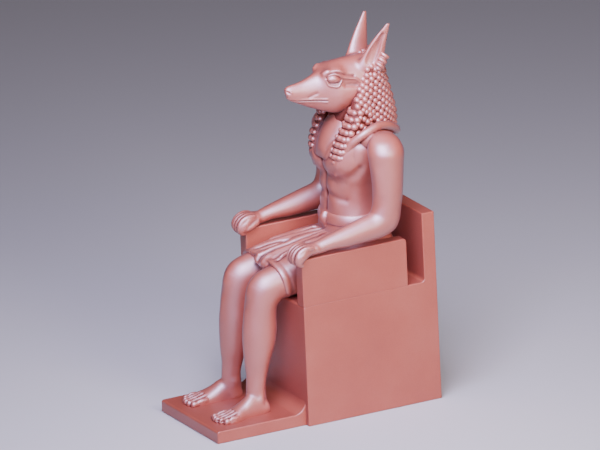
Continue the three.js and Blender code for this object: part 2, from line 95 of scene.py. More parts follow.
def prism(outline, x0, x1, edge_round):
    """An outline in (y, z) drawn out along x, with its long edges and its ends rounded."""
    block = bmesh.new()
    face = block.faces.new([block.verts.new((x0, y, z)) for y, z in outline])
    drawn = bmesh.ops.extrude_face_region(block, geom=[face])
    far = [item for item in drawn["geom"] if isinstance(item, bmesh.types.BMVert)]
    bmesh.ops.translate(block, verts=far, vec=(x1 - x0, 0, 0))
    bmesh.ops.recalc_face_normals(block, faces=block.faces)
    sharp = [edge for edge in block.edges if edge.calc_face_angle(0) > SHARP_CORNER]
    bmesh.ops.bevel(
        block, geom=sharp, offset=edge_round, offset_type="OFFSET", segments=3, profile=0.5,
        affect="EDGES", material=-1, clamp_overlap=True,
    )
    bmesh.ops.scale(block, verts=block.verts, vec=(MM, MM, MM))
    mesh = bpy.data.meshes.new("prism")
    block.to_mesh(mesh)
    block.free()
    return mesh


def linked(name, mesh):
    """An object of the scene that holds the mesh."""
    piece = bpy.data.objects.new(name, mesh)
    bpy.context.scene.collection.objects.link(piece)
    return piece


def applied(piece):
    """Makes the piece's modifiers part of its mesh."""
    bpy.context.view_layer.update()
    graph = bpy.context.evaluated_depsgraph_get()
    mesh = bpy.data.meshes.new_from_object(piece.evaluated_get(graph))
    piece.modifiers.clear()
    piece.data = mesh


def joined(name, meshes, operation="UNION"):
    """The first mesh with the others joined to it, or cut from it."""
    piece = linked(name, meshes[0])
    tools = [linked(name + "_tool", mesh) for mesh in meshes[1:]]
    for tool in tools:
        step = piece.modifiers.new("join", "BOOLEAN")
        step.operation = operation
        step.solver = "EXACT"
        step.object = tool
    applied(piece)
    for tool in tools:
        bpy.data.objects.remove(tool)
    return piece


# the stone's clouds and specks, each as places on a noise and the colour there
CLOUDS = [(0.34, (0.46, 0.085, 0.042)), (0.52, (0.52, 0.105, 0.055)), (0.70, (0.56, 0.130, 0.075))]
SPECKS = [(0.30, (0.41, 0.075, 0.038)), (0.50, (0.52, 0.105, 0.055)), (0.72, (0.60, 0.155, 0.10))]
# painted shade: the dark colour that the stone takes in its hollows, where shade falls
HOLLOW_SHADE_COLOUR = (0.10, 0.014, 0.006)
# painted shade: the dark colour mixed in where the surface turns away from the eye
RIM_SHADE_COLOUR = (0.20, 0.022, 0.008)
SHEEN_TINT = (0.80, 0.72, 1.0)
SPECK_SHARE = 0.35
# each noise as its scale, its detail and its roughness
CLOUD_NOISE = (3.2, 6, 0.6)
SPECK_NOISE = (210, 3, 0.7)
GLOSS_NOISE = (26, 4, 0.6)
GRAIN_NOISE = (420, 3, 0.65)
TOOLING_NOISE = (34, 3, 0.5)
TOOLING_HEIGHT = 0.6
LEAST_ROUGHNESS = 0.41
ROUGHNESS_SPREAD = 0.12
HOLLOW_ROUGHNESS = 0.3


def stone_effects():
    """The stone's mottling, fine grain and painted shade in its hollows, as one group for every piece."""
    group = bpy.data.node_groups.new("carved_stone", "ShaderNodeTree")
    for name, way, kind in [
            ("Vector", "INPUT", "NodeSocketVector"), ("Hollow", "INPUT", "NodeSocketFloat"),
            ("Mottling", "INPUT", "NodeSocketFloat"), ("Grain", "INPUT", "NodeSocketFloat"),
            ("Color", "OUTPUT", "NodeSocketColor"), ("Roughness", "OUTPUT", "NodeSocketFloat"),
            ("Height", "OUTPUT", "NodeSocketFloat")]:
        group.interface.new_socket(name, in_out=way, socket_type=kind)
    nodes, links = group.nodes, group.links
    given = nodes.new("NodeGroupInput")
    out = nodes.new("NodeGroupOutput")

    def noise(scale, detail, roughness):
        node = nodes.new("ShaderNodeTexNoise")
        node.inputs["Scale"].default_value = scale
        node.inputs["Detail"].default_value = detail
        node.inputs["Roughness"].default_value = roughness
        links.new(given.outputs["Vector"], node.inputs["Vector"])
        return node.outputs["Fac"]

    def ramp(source, stops):
        node = nodes.new("ShaderNodeValToRGB")
        band = node.color_ramp
        while len(band.elements) < len(stops):
            band.elements.new(0.5)
        for element, (position, colour) in zip(band.elements, stops):
            element.position = position
            element.color = (*colour, 1)
        links.new(source, node.inputs["Fac"])
        return node.outputs["Color"]

    def mix(amount, first, second):
        node = nodes.new("ShaderNodeMix")
        node.data_type = "RGBA"
        links.new(amount, node.inputs["Factor"])
        links.new(first, node.inputs["A"])
        if isinstance(second, tuple):
            node.inputs["B"].default_value = (*second, 1)
        else:
            links.new(second, node.inputs["B"])
        return node.outputs["Result"]

    def maths(kind, first, second, third=None):
        node = nodes.new("ShaderNodeMath")
        node.operation = kind
        for socket, value in zip(node.inputs, (first, second, third)):
            if isinstance(value, (int, float)):
                socket.default_value = value
            elif value is not None:
                links.new(value, socket)
        return node.outputs["Value"]

    clouds = ramp(noise(*CLOUD_NOISE), CLOUDS)
    specks = ramp(noise(*SPECK_NOISE), SPECKS)
    mottled = mix(maths("MULTIPLY", given.outputs["Mottling"], SPECK_SHARE), clouds, specks)
    # painted shade: the hollows are mixed towards the dark colour
    hollow_shaded_colour = mix(maths("MINIMUM", given.outputs["Hollow"], 1.0), mottled, HOLLOW_SHADE_COLOUR)
    links.new(hollow_shaded_colour, out.inputs["Color"])
    satin = maths("MULTIPLY_ADD", noise(*GLOSS_NOISE), ROUGHNESS_SPREAD, LEAST_ROUGHNESS)
    rough = maths("ADD", satin, maths("MULTIPLY", given.outputs["Hollow"], HOLLOW_ROUGHNESS))
    links.new(rough, out.inputs["Roughness"])
    fine = maths("MULTIPLY", noise(*GRAIN_NOISE), given.outputs["Grain"])
    height = maths("ADD", fine, maths("MULTIPLY", noise(*TOOLING_NOISE), TOOLING_HEIGHT))
    links.new(height, out.inputs["Height"])
    return group


STONE_EFFECTS = stone_effects()


def stone(name, mottling=0.3, grain=0.4, polish=0.9):
    """The satin reddish stone of one piece, with painted shade in its hollows and where it turns from the eye.
    """
    material = bpy.data.materials.new(name)
    material.use_nodes = True
    nodes, links = material.node_tree.nodes, material.node_tree.links
    surface = nodes["Principled BSDF"]
    for socket, value in [("Sheen Weight", 0.08), ("Sheen Roughness", 0.4),
                          ("Sheen Tint", (*SHEEN_TINT, 1)), ("Coat IOR", 2.0)]:
        surface.inputs[socket].default_value = value
    place = nodes.new("ShaderNodeTexCoord")
    hollow = nodes.new("ShaderNodeAttribute")
    hollow.attribute_name = "hollow"
    effects = nodes.new("ShaderNodeGroup")
    effects.node_tree = STONE_EFFECTS
    effects.inputs["Mottling"].default_value = mottling
    effects.inputs["Grain"].default_value = grain
    bump = nodes.new("ShaderNodeBump")
    bump.inputs["Strength"].default_value = 0.12
    bump.inputs["Distance"].default_value = 0.0012
    # painted shade: the colour darkens where the surface turns away from the eye
    away = nodes.new("ShaderNodeLayerWeight")
    rim = nodes.new("ShaderNodeMapRange")
    rim.interpolation_type = "SMOOTHSTEP"
    for socket, value in [("From Min", 0.25), ("From Max", 0.92), ("To Max", 0.88)]:
        rim.inputs[socket].default_value = value
    rim_shaded_colour = nodes.new("ShaderNodeMix")
    rim_shaded_colour.data_type = "RGBA"
    rim_shaded_colour.inputs["B"].default_value = (*RIM_SHADE_COLOUR, 1)
    shine = nodes.new("ShaderNodeMapRange")
    for socket, value in [("To Min", polish), ("To Max", 0.0)]:
        shine.inputs[socket].default_value = value
    links.new(place.outputs["Object"], effects.inputs["Vector"])
    links.new(hollow.outputs["Fac"], effects.inputs["Hollow"])
    links.new(hollow.outputs["Fac"], shine.inputs["Value"])
    links.new(away.outputs["Facing"], rim.inputs["Value"])
    links.new(rim.outputs["Result"], rim_shaded_colour.inputs["Factor"])
    links.new(effects.outputs["Color"], rim_shaded_colour.inputs["A"])
    links.new(rim_shaded_colour.outputs["Result"], surface.inputs["Base Color"])
    links.new(effects.outputs["Roughness"], surface.inputs["Roughness"])
    links.new(effects.outputs["Roughness"], surface.inputs["Coat Roughness"])
    links.new(shine.outputs["Result"], surface.inputs["Coat Weight"])
    links.new(shine.outputs["Result"], surface.inputs["Specular IOR Level"])
    links.new(effects.outputs["Height"], bump.inputs["Height"])
    links.new(bump.outputs["Normal"], surface.inputs["Normal"])
    return material


def finished(piece, material, smooth=True):
    """Gives a piece its stone and makes it stand for the solid statue."""
    piece.data.materials.clear()
    piece.data.materials.append(material)
    for face in piece.data.polygons:
        face.use_smooth = smooth
    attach(piece, "root")
    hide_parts("seated_jackal_statue")


half = THRONE_WIDTH / 2
back_face = THRONE_BACK - BACK_THICKNESS
seat_outline = [(THRONE_FRONT, 0), (THRONE_BACK, 0), (THRONE_BACK, BACK_HEIGHT), (back_face, BACK_HEIGHT)]
seat_outline += arc(back_face - BACK_FILLET, SEAT_HEIGHT + BACK_FILLET, BACK_FILLET, 0, -90)
seat_outline += arc(THRONE_FRONT + SEAT_EDGE, SEAT_HEIGHT - SEAT_EDGE, SEAT_EDGE, 90, 180)
rest_back = THRONE_FRONT + ARMREST_LENGTH
rest_outline = [(THRONE_FRONT, SEAT_HEIGHT - SINK), (rest_back, SEAT_HEIGHT - SINK)]
rest_outline += arc(rest_back - ARMREST_CORNER, ARMREST_HEIGHT - ARMREST_CORNER, ARMREST_CORNER, 0, 90)
rest_outline += [(THRONE_FRONT, ARMREST_HEIGHT)]
cove_top = SLAB_THICKNESS + COVE_RADIUS
slab_outline = [(SLAB_FRONT, 0), (THRONE_FRONT + OVERLAP, 0), (THRONE_FRONT + OVERLAP, cove_top)]
slab_outline += arc(THRONE_FRONT - COVE_RADIUS, cove_top, COVE_RADIUS, 0, -90)
slab_outline += arc(SLAB_FRONT + SLAB_EDGE, SLAB_THICKNESS - SLAB_EDGE, SLAB_EDGE, 90, 180)
throne = joined("throne", [
    prism(seat_outline, -half, half, EDGE_ROUND),
    prism(rest_outline, half - ARMREST_WIDTH, half, EDGE_ROUND),
    prism(rest_outline, -half, -half + ARMREST_WIDTH, EDGE_ROUND),
    prism(slab_outline, -SLAB_WIDTH / 2, SLAB_WIDTH / 2, SLAB_ROUND),
])
finished(throne, stone("throne_stone", mottling=0.6, grain=0.8, polish=0.4), smooth=False)


# Legs
# Bare shins, knees and thighs, and broad flat feet with long toes, one stone with the slab they stand on.
# Each is drawn through its cross sections, fused to one skin and then carved by strokes.

KNEE_X = 99
ANKLE_X = 106
HEEL_X = ANKLE_X + 11
BALL_X = HEEL_X + 16
SOLE = SLAB_THICKNESS - SINK
TOE_SPACING = 21.5
INSTEP_REACH = 30
# the end of a row that gives no tip, turn or squareness, and the tip of a section that faces along y
LEVEL = (0, 0, 2)
ALONG = 90


def skin(rows, around, along):
    """A closed skin through cross sections: a ball whose rings take the sections between its poles.
    A row is x, y, z, half width, half depth, and then its tip about x, turn about z and squareness."""
    table = np.array([(*row, *LEVEL[len(row) - 5:]) for row in rows], float)
    ends = np.vstack([2 * table[0] - table[1], table, 2 * table[-1] - table[-2]])
    shell = bmesh.new()
    bmesh.ops.create_uvsphere(shell, u_segments=around, v_segments=along, radius=1)
    place = np.array([vert.co for vert in shell.verts])
    ring = np.arccos(np.clip(place[:, 2], -1, 1)) / np.pi * along
    angle = np.arctan2(place[:, 1], place[:, 0])
    off_pole = np.hypot(place[:, 0], place[:, 1]) > 1e-5
    share = np.clip((ring - 1) / (along - 2), 0, 1) * (len(table) - 1)
    first = np.minimum(share.astype(int), len(table) - 2)
    # each ring lies on a smooth curve through the two rows before it and the two after
    u = (share - first)[:, None]
    a, b, c, d = (ends[first + k] for k in range(4))
    now = b + 0.5 * u * (c - a + u * (2 * a - 5 * b + 4 * c - d + u * (3 * (b - c) + d - a)))
    x, y, z, wide, deep, tip, turn, square = now.T
    power = 2 / square
    across = wide * np.sign(np.cos(angle)) * np.abs(np.cos(angle)) ** power * off_pole
    depth = deep * np.sign(np.sin(angle)) * np.abs(np.sin(angle)) ** power * off_pole
    tip = np.radians(tip)
    turn = np.radians(turn)
    level_y = depth * np.cos(tip)
    points = np.stack([
        x + across * np.cos(turn) - level_y * np.sin(turn),
        y + across * np.sin(turn) + level_y * np.cos(turn),
        z + depth * np.sin(tip),
    ], 1)
    for vert, point in zip(shell.verts, points * MM):
        vert.co = point
    bmesh.ops.recalc_face_normals(shell, faces=shell.faces)
    mesh = bpy.data.meshes.new("skin")
    shell.to_mesh(mesh)
    shell.free()
    return mesh


def mirrored(mesh):
    """The same mesh for the figure's other side."""
    other = bmesh.new()
    other.from_mesh(mesh)
    bmesh.ops.scale(other, verts=other.verts, vec=(-1, 1, 1))
    bmesh.ops.reverse_faces(other, faces=other.faces)
    copy = bpy.data.meshes.new("mirrored")
    other.to_mesh(copy)
    other.free()
    return copy


def soften(piece, rounds):
    """Evens out the surface a little, as rubbing down does."""
    soft = piece.modifiers.new("soften", "SMOOTH")
    soft.factor = 0.5
    soft.iterations = rounds
    applied(piece)


def fused(name, meshes, voxel, rounds):
    """One closed skin round all the meshes, softened where they meet."""
    whole = bmesh.new()
    for mesh in meshes:
        whole.from_mesh(mesh)
    mesh = bpy.data.meshes.new(name)
    whole.to_mesh(mesh)
    whole.free()
    piece = linked(name, mesh)
    fuse = piece.modifiers.new("fuse", "REMESH")
    fuse.mode = "VOXEL"
    fuse.voxel_size = voxel * MM
    soften(piece, rounds)
    return piece


def points_of(piece):
    """The piece's vertices in millimetres, and its normals."""
    count = len(piece.data.vertices)
    place = np.empty(count * 3)
    piece.data.vertices.foreach_get("co", place)
    facing = np.empty(count * 3, np.float32)
    piece.data.vertex_normals.foreach_get("vector", facing)
    return place.reshape(-1, 3) / MM, facing.reshape(-1, 3).astype(float)


def moved(piece, place):
    """Puts the piece's vertices at these places, given in millimetres."""
    piece.data.vertices.foreach_set("co", (place * MM).ravel())
    piece.data.update()


def carve(piece, strokes):
    """Raises or cuts the surface along lines. A stroke is its points, its reach and its height."""
    place, facing = points_of(piece)
    for line, reach, height in strokes:
        line = np.array(line, float)
        low = line.min(0) - 3 * reach
        high = line.max(0) + 3 * reach
        near = np.flatnonzero(np.all((place > low) & (place < high), axis=1))
        gap = np.full(len(near), np.inf)
        for start, end in zip(line[:-1], line[1:]):
            run = end - start
            share = np.clip((place[near] - start) @ run / max(run @ run, 1e-9), 0, 1)
            gap = np.minimum(gap, np.linalg.norm(place[near] - start - share[:, None] * run, axis=1))
        place[near] += facing[near] * (height * np.exp(-(gap / reach) ** 2))[:, None]
    moved(piece, place)


def both(strokes):
    """The strokes of the left side and the same ones on the right."""
    other = [([(-x, y, z) for x, y, z in line], reach, height) for line, reach, height in strokes]
    return strokes + other


def thinned(piece, triangles):
    """Brings the piece down to a number of triangles, most of them kept where the surface bends."""
    mesh = piece.data
    now = sum(len(face.vertices) - 2 for face in mesh.polygons)
    if now > triangles:
        thin = piece.modifiers.new("thin", "DECIMATE")
        thin.ratio = triangles / now
        applied(piece)


def evened(piece, even, rounds):
    """The vertices' places, or other values of theirs, each drawn towards its neighbours' for some rounds."""
    edges = np.empty(len(piece.data.edges) * 2, np.int32)
    piece.data.edges.foreach_get("vertices", edges)
    start, end = edges.reshape(-1, 2).T
    count = np.bincount(start, minlength=len(even)) + np.bincount(end, minlength=len(even))
    for _ in range(rounds):
        total = np.stack([
            np.bincount(start, even[end, k], len(even)) + np.bincount(end, even[start, k], len(even))
            for k in range(even.shape[1])], 1)
        even = 0.5 * even + 0.5 * total / np.maximum(count, 1)[:, None]
    return even


def melt(piece, spots, rounds):
    """Blends the surface round some spots, each given as its place and its reach."""
    place, _ = points_of(piece)
    even = evened(piece, place, rounds)
    for spot, reach in spots:
        near = np.exp(-(np.linalg.norm(place - np.array(spot), axis=1) / reach) ** 2)
        place += near[:, None] * (even - place)
    moved(piece, place)


def mark_hollows(piece, rounds, strength, base=0.0):
    """Works out where the surface is hollow, so that the stone's colour is darker there, as painted shade."""
    place, facing = points_of(piece)
    depth = np.einsum("ij,ij->i", evened(piece, place, rounds) - place, facing)
    hollow = evened(piece, np.clip(base + strength * depth, 0, 1)[:, None], rounds=3)[:, 0]
    if "hollow" not in piece.data.attributes:
        piece.data.attributes.new("hollow", "FLOAT", "POINT")
    piece.data.attributes["hollow"].data.foreach_set("value", hollow.astype(np.float32))


shin_rows = [
    (ANKLE_X + 5, -248, 60, 34, 42),
    (ANKLE_X + 1, -253, 104, 35, 43),
    (ANKLE_X, -251, 155, 36, 39),
    (ANKLE_X - 2, -244, 204, 40, 43),
    (ANKLE_X - 4, -237, 262, 50, 54),
    (KNEE_X + 1, -226, 325, 57, 67),
    (KNEE_X, -219, 388, 60, 72),
    (KNEE_X, -215, 446, 58, 69),
    (KNEE_X, -206, 500, 61, 68, -14),
    (KNEE_X, -184, 548, 67, 77, -42),
    (KNEE_X - 1, -143, 568, 70, 73, -68),
    (KNEE_X - 3, -60, 580, 74, 74, -84),
]
sole_rows = [(*row, ALONG, 0, 2.2) for row in [
    (HEEL_X, -207, SOLE + 12, 18, 12),
    (HEEL_X, -212, SOLE + 18, 28, 28),
    (HEEL_X, -226, SOLE + 23, 35, 38),
    (HEEL_X, -250, SOLE + 25, 38, 48),
    (HEEL_X + 3, -290, SOLE + 24, 38, 58),
    (HEEL_X + 7, -330, SOLE + 14, 42, 44),
    (BALL_X - 1, -368, SOLE + 10, 50, 31),
    (BALL_X, -400, SOLE + 8, 56, 22),
    (BALL_X, -418, SOLE + 6, 50, 14),
]]
# each toe's tip and half width, from the big toe out
toes = [(-447, 13.5), (-455, 11.5), (-456, 11), (-449, 10.5), (-436, 10.5)]
leg_meshes = [skin(shin_rows, around=48, along=60), skin(sole_rows, around=40, along=40)]
# the kneecap, the shin's edge, the inner and the outer ankle, and the hollow behind the outer one
leg_strokes = [
    ([(KNEE_X - 4, -268, 548), (KNEE_X - 4, -262, 572)], 26, 5),
    ([(KNEE_X, -286, 470), (ANKLE_X, -288, 240), (ANKLE_X, -290, 150)], 16, 3),
    ([(ANKLE_X - 38, -250, 118), (ANKLE_X - 36, -252, 124)], 16, 5),
    ([(ANKLE_X + 38, -244, 110), (ANKLE_X + 38, -246, 114)], 15, 6),
    ([(ANKLE_X + 40, -222, 104), (ANKLE_X + 44, -234, 92)], 13, -3),
]
for i, (tip, wide) in enumerate(toes):
    x = BALL_X + (i - 2) * TOE_SPACING + (-1 if i == 0 else 1)
    leg_meshes.append(skin([
        (x, -372, SOLE + 18, wide * 0.8, 9, ALONG),
        (x, -392, SOLE + 18, wide * 0.95, 12, ALONG),
        (x, -408, SOLE + 16, wide * 0.96, 12, ALONG),
        (x, tip + 26, SOLE + 13, wide * 0.92, 11, ALONG),
        (x, tip + 12, SOLE + 11, wide * 1.04, 12, ALONG),
        (x, tip + 4, SOLE + 9, wide * 0.9, 10, ALONG),
        (x, tip, SOLE + 7, wide * 0.5, 5, ALONG),
    ], around=18, along=22))
    # the nail, the dent behind it and the cleft beside the next toe
    leg_strokes.append(([(x, tip + 7, SOLE + 20), (x, tip + 12, SOLE + 22)], 6, 1.6))
    leg_strokes.append(([(x, tip + 21, SOLE + 24), (x, tip + 22, SOLE + 24)], 6, -1.5))
    if i < len(toes) - 1:
        between = x + TOE_SPACING / 2
        leg_strokes.append(([(between, tip + 8, SOLE + 12), (between, -404, SOLE + 26),
                             (between - 2, -374, SOLE + 38)], 4.5, -6))
leg_meshes += [mirrored(mesh) for mesh in leg_meshes]
legs = fused("legs", leg_meshes, voxel=3, rounds=4)
instep = [
    (ANKLE_X, -296, 124), (ANKLE_X - 34, -276, 104), (ANKLE_X - 30, -248, 92),
    (ANKLE_X + 36, -274, 98), (ANKLE_X + 36, -246, 90),
]
melt(legs, [((side * x, y, z), INSTEP_REACH) for side in (1, -1) for x, y, z in instep], rounds=70)
carve(legs, both(leg_strokes))
soften(legs, rounds=1)
thinned(legs, triangles=150000)
mark_hollows(legs, rounds=10, strength=0.9)
finished(legs, stone("leg_stone"))


# Trunk and arms
# A bare chest with a smooth bib, a rounded collar rim and both arms laid along the armrests, ending in fists
# that close over the armrests' front edges. The muscles, the navel and the fingers are carved in it.

ARM_X = 239
HAND_X = ARM_X + 3
FINGER_SPACING = 19.5
REST = ARMREST_HEIGHT
COLLAR_RADIUS = 17


def bar(points, radii, around, along):
    """A closed round bar through points, with its radius at each of them."""
    points = np.array(points, float)
    run = np.gradient(points, axis=0)
    run /= np.linalg.norm(run, axis=1)[:, None]
    tips = np.degrees(np.arccos(np.clip(run[:, 2], -1, 1)))
    turns = np.degrees(np.unwrap(np.arctan2(run[:, 0], -run[:, 1])))
    sections = zip(points, radii, tips, turns)
    return skin([(*point, radius, radius, tip, turn) for point, radius, tip, turn in sections], around, along)


trunk_rows = [
    (0, 273, 676, 150, 127, 0, 0, 2.4),
    (0, 273, 720, 146, 129, 0, 0, 2.4),
    (0, 275, 770, 135, 123, 0, 0, 2.3),
    (0, 277, 833, 127, 119, 0, 0, 2.3),
    (0, 275, 900, 133, 119, 0, 0, 2.3),
    (0, 275, 950, 150, 125, 0, 0, 2.5),
    (0, 278, 1000, 168, 133, 0, 0, 2.7),
    (0, 284, 1045, 178, 139, 0, 0, 2.6),
    (0, 296, 1085, 182, 140, 0, 0, 2.3),
    (0, 312, 1118, 168, 130),
    (0, 326, 1150, 132, 112),
    (0, 336, 1185, 92, 92),
    (0, 338, 1240, 80, 84),
]
bib_rows = [
    (0, 178, 1004, 26, 20, 0, 0, 2.4),
    (0, 178, 1012, 46, 33, 0, 0, 2.4),
    (0, 180, 1030, 60, 41, 0, 0, 2.3),
    (0, 184, 1060, 66, 47),
    (0, 198, 1100, 72, 48),
    (0, 222, 1145, 76, 44),
    (0, 255, 1185, 66, 44),
]
arm_rows = [
    (ARM_X - 36, 319, 1143, 18, 22),
    (ARM_X - 29, 318, 1134, 38, 43),
    (ARM_X - 14, 314, 1112, 58, 64),
    (ARM_X - 2, 312, 1076, 68, 75),
    (ARM_X, 312, 1029, 66, 71),
    (ARM_X, 313, 970, 62, 66),
    (ARM_X, 312, 909, 59, 62),
    (ARM_X, 304, 845, 56, 60, -6),
    (ARM_X, 288, 795, 54, 65, -40),
    (ARM_X, 245, 773, 51, 56, -74),
    (ARM_X, 190, 764, 48, 50, -82),
    (ARM_X, 103, 751, 43, 41, -82),
    (ARM_X, 30, 743, 35, 30, -82),
    (ARM_X, -22, 732, 30, 26, -84),
    (ARM_X, -50, 730, 33, 24, -86),
]
palm_rows = [
    (ARM_X, -25, REST + 29, 30, 24, -86),
    (ARM_X + 1, -58, REST + 32, 37, 25, -88, 0, 2.3),
    (ARM_X + 2, -88, REST + 26, 45, 32, -92, 0, 2.6),
    (ARM_X + 3, -110, REST + 12, 47, 33, -96, 0, 2.8),
    (ARM_X + 3, -127, REST + 8, 43, 27, -96, 0, 2.8),
]
# how far each finger stands back, from the inner one out
finger_backs = [0, 0, 0, 6]
body_meshes = [skin(arm_rows, around=44, along=80), skin(palm_rows, around=36, along=24)]
for i, back in enumerate(finger_backs):
    x = HAND_X + (i - 1.5) * FINGER_SPACING
    body_meshes.append(skin([
        (x, back - 56, REST + 46, 9, 8, -86),
        (x, back - 82, REST + 46, 12, 12, -76),
        (x, back - 106, REST + 39, 12, 13, -56),
        (x, back - 123, REST + 24, 11.5, 13, -20),
        (x, back - 128, REST + 4, 12, 13, 12),
        (x, back - 118, REST - 14, 11, 12, 50),
        (x, back - 104, REST - 18, 9, 9, 80),
    ], around=18, along=26))
thumb_rows = [
    (ARM_X - 28, -42, REST + 22, 12, 14, -88),
    (ARM_X - 33, -70, REST + 12, 13, 16, -80),
    (ARM_X - 34, -96, REST + 2, 12, 14, -72),
    (ARM_X - 32, -110, REST - 4, 8, 9, -70),
]
shoulder = [(110, 268, 1098), (150, 274, 1108), (205, 302, 1104)]
body_meshes.append(bar(shoulder, [30, 36, 34], around=24, along=20))
body_meshes.append(skin(thumb_rows, around=18, along=18))
body_meshes += [mirrored(mesh) for mesh in body_meshes]
collar_half = [
    (106, 182, 1010),
    (114, 184, 1032),
    (126, 190, 1064),
    (142, 204, 1098),
    (170, 242, 1134),
    (172, 288, 1154),
    (162, 330, 1158),
    (146, 378, 1146),
    (120, 418, 1122),
    (84, 444, 1098),
    (42, 456, 1086),
]
collar = [(-x, y, z) for x, y, z in collar_half] + [(0, 460, 1083)] + collar_half[::-1]
collar_taper = [4, 9, 13, 16]
collar_radii = collar_taper + [COLLAR_RADIUS] * (len(collar) - 2 * len(collar_taper)) + collar_taper[::-1]
body_meshes.append(skin(trunk_rows, around=80, along=90))
body_meshes.append(skin(bib_rows, around=48, along=40))
body_meshes.append(bar(collar, collar_radii, around=20, along=120))
body = fused("body", body_meshes, voxel=3, rounds=4)
body_strokes = [
    # the breast and the muscle by the collar, the nipple in two strokes, the fold under it and the bib's edge
    ([(62, 150, 1000), (100, 165, 1006)], 42, 12),
    ([(152, 212, 1096), (130, 182, 1055), (110, 165, 1010)], 19, 5),
    ([(104, 162, 1000), (87, 160, 968)], 10, 4),
    ([(87, 158, 962), (87, 158, 961)], 7, 4),
    ([(8, 148, 950), (45, 150, 940), (80, 160, 934), (115, 182, 942), (145, 212, 966),
      (162, 232, 995)], 22, -9),
    ([(0, 140, 1009), (34, 139, 1012), (54, 139, 1021), (66, 142, 1036), (73, 147, 1060)], 7, -4),
    # the belly's muscles above and below the navel, and two hollows across them
    ([(48, 155, 905), (48, 155, 890)], 24, 4),
    ([(60, 160, 828), (60, 160, 822)], 30, 6),
    ([(8, 155, 868), (35, 157, 866), (70, 171, 858), (100, 195, 852)], 15, -4.5),
    ([(12, 155, 925), (81, 168, 925), (110, 189, 925)], 14, -2),
    # the crease in front of the arm, the upper arm's muscle and the wrist bone
    ([(172, 205, 1090), (168, 205, 1050), (178, 212, 990), (180, 225, 940)], 12, -5),
    ([(268, 250, 1000), (266, 256, 930)], 22, 4),
    ([(ARM_X + 26, -30, 742), (ARM_X + 30, -24, 728)], 9, 4),
]
for i in range(len(finger_backs) - 1):
    # the groove between two fingers, over the knuckles and down the front
    x = HAND_X + (i - 1) * FINGER_SPACING
    body_strokes.append(([(x, -66, REST + 57), (x, -92, REST + 55), (x, -118, REST + 42),
                          (x, -134, REST + 22), (x, -140, REST + 2), (x, -128, REST - 22)], 6, -2.5))
carve(body, both(body_strokes))
# the groove down the middle of the chest and belly, and the navel
carve(body, [
    ([(0, 140, 998), (0, 150, 960), (0, 156, 900), (0, 156, 800)], 11, -5.5),
    ([(0, 156, 868), (0, 156, 860)], 9, -7),
])
soften(body, rounds=1)
thinned(body, triangles=180000)
mark_hollows(body, rounds=12, strength=0.9)
finished(body, stone("body_stone"))


# Kilt
# A pleated kilt over both thighs, held by a smooth belt with a knot in front, all of the one stone. Its folds
# are carved from the belt to a softly raised hem, over a tongue of cloth that lies between the thighs.

HEM_TOP = -152
HEM_LEAN = 14
THIGH_TOP = 650
THIGH_UNDER = 540
HEM_HALF = 174
HEM_MIDDLE = 576
HEM_RISE = 86
HEM_POWER = 2 / 2.8
HEM_TURNS = range(-20, 71, 10)
# how far behind the kilt's edge the hem is raised, and how far behind that the groove runs
HEM_INSET = 10
HEM_GROOVE = 20
# the block that is cut away in front of the hem: its reach forward, above and below, and its step at the seat
CUT_AHEAD = 200
CUT_ABOVE = 130
CUT_BELOW = 140
CUT_STEP = 12
kilt_rows = [
    (0, 400, 594, 122, 76, ALONG, 0, 2.8),
    (0, 388, 600, 146, 90, ALONG, 0, 3),
    (0, 350, 604, 164, 98, ALONG, 0, 3),
    (0, 220, 608, 172, 101, ALONG, 0, 3.2),
    (0, 120, 606, 174, 100, ALONG, 0, 3.2),
    (0, 30, 600, 175, 97, ALONG, 0, 3.1),
    (0, -60, 590, 175, 90, ALONG, 0, 3),
    (0, -128, 579, 174, 86, ALONG, 0, 2.8),
    (0, -164, 573, 171, 82, ALONG, 0, 2.7),
]
tongue_rows = [
    (4, 110, 700, 12, 6, -84),
    (8, 40, 688, 26, 11, -82),
    (10, -40, 676, 40, 13, -80),
    (12, -100, 664, 52, 14, -76),
    (14, -138, 651, 58, 14, -62),
    (14, -155, 637, 56, 12, -30),
    (14, -160, 626, 46, 9, -8),
    (14, -161, 619, 24, 5, 0),
]
hem_slope = math.tan(math.radians(HEM_LEAN))
under_hem = THRONE_FRONT - 1
front_of_hem = prism([
    (HEM_TOP - CUT_AHEAD, THIGH_TOP + CUT_ABOVE),
    (HEM_TOP, THIGH_TOP + CUT_ABOVE),
    (HEM_TOP, THIGH_TOP),
    (HEM_TOP + (THIGH_TOP - THIGH_UNDER) * hem_slope, THIGH_UNDER),
    (under_hem, THIGH_UNDER - CUT_STEP),
    (under_hem, THIGH_UNDER - CUT_BELOW),
    (HEM_TOP - CUT_AHEAD, THIGH_UNDER - CUT_BELOW),
], -THRONE_WIDTH, THRONE_WIDTH, edge_round=1)
cloth = joined("cloth", [skin(kilt_rows, around=120, along=90), front_of_hem], "DIFFERENCE")
belt_rows = [
    (0, 273, 740, 138, 125, 0, 0, 2.3),
    (0, 273, 748, 145, 131, 0, 0, 2.3),
    (0, 273, 766, 144, 131, 0, 0, 2.3),
    (0, 274, 782, 139, 127, 0, 0, 2.3),
    (0, 274, 788, 133, 121, 0, 0, 2.3),
]
knot_rows = [
    (0, 150, 726, 12, 8),
    (0, 145, 742, 19, 14),
    (0, 141, 758, 21, 17),
    (0, 142, 774, 21, 16),
    (0, 148, 792, 13, 9),
]
kilt = fused("kilt", [
    cloth.data,
    skin(tongue_rows, around=40, along=40),
    skin(belt_rows, around=90, along=20),
    skin(knot_rows, around=24, along=20),
], voxel=2.5, rounds=5)
bpy.data.objects.remove(cloth)
hem = []
for turn in HEM_TURNS:
    a = math.radians(turn)
    x = HEM_HALF * math.cos(a) ** HEM_POWER
    z = HEM_MIDDLE + HEM_RISE * math.copysign(abs(math.sin(a)) ** HEM_POWER, math.sin(a))
    hem.append((x, HEM_TOP + HEM_INSET + max(0, THIGH_TOP - z) * hem_slope, z))
